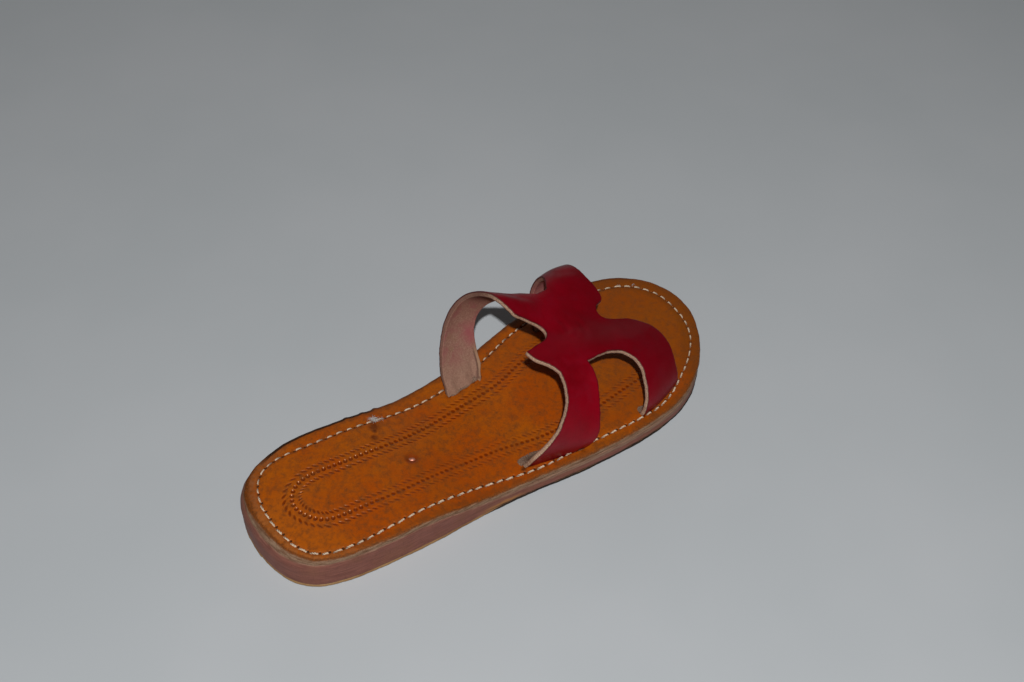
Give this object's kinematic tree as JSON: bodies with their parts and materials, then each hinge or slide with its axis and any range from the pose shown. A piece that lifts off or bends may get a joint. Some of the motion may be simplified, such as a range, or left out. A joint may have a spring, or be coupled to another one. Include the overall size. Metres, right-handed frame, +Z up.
{
  "type": "slide sandal",
  "caption": "Flat slide sandal for a right foot: an H-shaped leather strap let into slots in a stitched footbed, on a stacked leather sole with a low heel.",
  "frame": {"origin": "on the floor, below the middle of the sole's box", "axes": "+Y runs from the heel to the toe, +X to the outer side of the right foot, +Z up from the floor"},
  "size_m": [0.0972, 0.2518, 0.0638],
  "materials": {
    "upper": "smooth dyed dark red, with a soft sheen",
    "insole": "smooth tan leather, lightly waxed, with an undyed cut edge",
    "midsole": "matt cut edge, dull mauve brown",
    "outsole": "matt pale tan"
  },
  "bodies": {
    "root": {"upper": "upper", "insole": "insole", "midsole": "midsole", "outsole": "outsole"}
  },
  "joints": []
}
